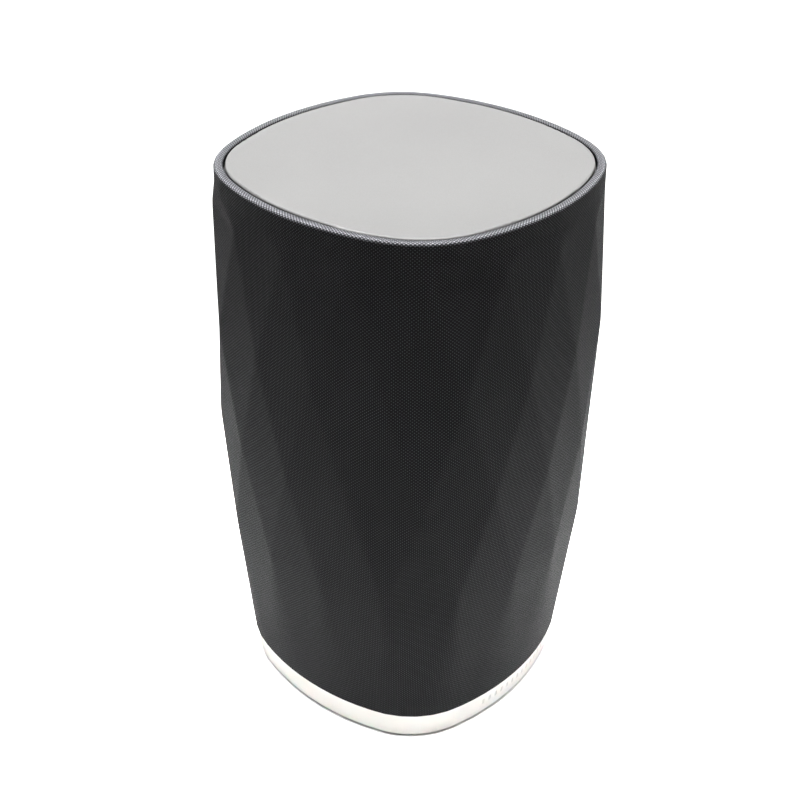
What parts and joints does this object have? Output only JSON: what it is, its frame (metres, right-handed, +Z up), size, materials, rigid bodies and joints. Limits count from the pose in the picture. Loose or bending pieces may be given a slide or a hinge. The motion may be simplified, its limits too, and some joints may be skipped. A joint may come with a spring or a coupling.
{
  "type": "wireless speaker and smart home hub",
  "caption": "Rounded-square barrel wireless speaker hub: faceted woven cloth cover, satin top plate in a dark rim, white base trim, press buttons and a connector well underneath.",
  "frame": {"origin": "centre of the standing face, on the floor", "axes": "+Z up; -Y is the front, where the drivers face; +X is the side with the volume and play buttons; +Y is the back"},
  "size_m": [0.1304, 0.1304, 0.212],
  "materials": {
    "cloth": "plain-woven acoustic cloth, charcoal",
    "carrier_black": "moulded, matt",
    "top_satin": "fine satin, light grey",
    "foam_black": "closed-cell foam",
    "screw_steel": "black zinc plated",
    "trim_white": "warm white, fine satin",
    "base_grey": "moulded, fine spark texture",
    "foot_rubber": "matt silicone rubber",
    "socket_black": "glass-filled, matt",
    "contact_metal": "plated contacts",
    "socket_shell": "tinned sheet steel",
    "board_green": "glass laminate with green solder mask",
    "button_white": "warm white, fine satin",
    "switch_black": "moulded",
    "light_pipe": "frosted clear",
    "transformer_tape": "polyester tape over ferrite",
    "capacitor_sleeve": "shrink sleeve",
    "ferrite": "sintered, matt",
    "heatsink_aluminium": "extruded, plain",
    "antenna_copper": "etched copper on film",
    "cable_jacket": "matt jacket",
    "cabinet_plastic": "moulded, matt",
    "damping_wool": "open-cell foam",
    "driver_frame": "glass-filled, fine texture",
    "woven_cone": "woven fibre, satin",
    "surround_rubber": "butyl, matt",
    "spider_cloth": "phenolic-treated cloth",
    "coil_copper": "enamelled copper wire",
    "motor_steel": "zinc plated, turned",
    "dome_aluminium": "drawn, satin"
  },
  "bodies": {
    "enclosure": {"fabric_cover": "cloth", "grille_shell": "carrier_black", "top_ring": "carrier_black", "top_plate": "top_satin", "top_plate_gasket": "foam_black", "top_ring_screws": "screw_steel", "base_trim": "trim_white", "base_chassis": "carrier_black", "base_cover": "base_grey", "rubber_foot": "foot_rubber", "base_screws": "screw_steel", "deck_screws": "screw_steel", "ac_inlet": "socket_black", "inlet_pins": "contact_metal", "ethernet_jack": "socket_black", "ethernet_contacts": "contact_metal", "usb_port": "socket_shell", "io_board": "board_green", "press_switches": "switch_black", "button_boards": "board_green", "status_light": "light_pipe", "power_board": "board_green", "transformer": "transformer_tape", "bulk_capacitor": "capacitor_sleeve", "amplifier_board": "board_green", "output_inductors": "ferrite", "amplifier_heatsink": "heatsink_aluminium", "main_board": "board_green", "processor_can": "socket_shell", "wireless_module": "socket_shell", "antennas": "antenna_copper", "signal_cable": "cable_jacket", "cable_grommets": "foot_rubber", "cabinet_shell": "cabinet_plastic", "baffle": "cabinet_plastic", "baffle_gasket": "foam_black", "baffle_screws": "screw_steel", "damping_foam": "damping_wool", "woofer_frame": "driver_frame", "woofer_surround": "surround_rubber", "woofer_spider": "spider_cloth", "woofer_front_plate": "motor_steel", "woofer_magnet": "ferrite", "woofer_back_plate": "motor_steel", "woofer_screws": "screw_steel", "tweeter_faceplate": "driver_frame", "tweeter_surround": "surround_rubber", "tweeter_pot": "motor_steel", "tweeter_magnet": "ferrite"},
    "woofer_diaphragm": {"woofer_cone": "woven_cone", "woofer_dust_cap": "woven_cone", "voice_coil": "coil_copper"},
    "tweeter_diaphragm": {"tweeter_dome": "dome_aluminium", "tweeter_coil": "coil_copper"},
    "play_key": {"play_button": "button_white"},
    "volume_up_key": {"volume_up_button": "button_white"},
    "volume_down_key": {"volume_down_button": "button_white"},
    "pairing_key": {"pairing_button": "button_white"},
    "reset_key": {"reset_button": "button_white"}
  },
  "joints": [
    {"name": "woofer_stroke", "type": "slide", "parent": "enclosure", "child": "woofer_diaphragm", "axis": [0, -1, 0], "range_m": [-0.004, 0.004], "stiffness_N_per_m": 1200, "deforming": ["woofer_surround", "woofer_spider"]},
    {"name": "tweeter_stroke", "type": "slide", "parent": "enclosure", "child": "tweeter_diaphragm", "axis": [0, -1, 0], "range_m": [-0.0003, 0.0003], "stiffness_N_per_m": 2000, "deforming": ["tweeter_surround"]},
    {"name": "play_press", "type": "slide", "parent": "enclosure", "child": "play_key", "axis": [-1, 0, 0], "range_m": [0, 0.0005], "stiffness_N_per_m": 3000},
    {"name": "volume_up_press", "type": "slide", "parent": "enclosure", "child": "volume_up_key", "axis": [-1, 0, 0], "range_m": [0, 0.0005], "stiffness_N_per_m": 3000},
    {"name": "volume_down_press", "type": "slide", "parent": "enclosure", "child": "volume_down_key", "axis": [-1, 0, 0], "range_m": [0, 0.0005], "stiffness_N_per_m": 3000},
    {"name": "pairing_press", "type": "slide", "parent": "enclosure", "child": "pairing_key", "axis": [0, -1, 0], "range_m": [0, 0.0005], "stiffness_N_per_m": 3000},
    {"name": "reset_press", "type": "slide", "parent": "enclosure", "child": "reset_key", "axis": [0, 0, 1], "range_m": [0, 0.0005], "stiffness_N_per_m": 3000}
  ]
}
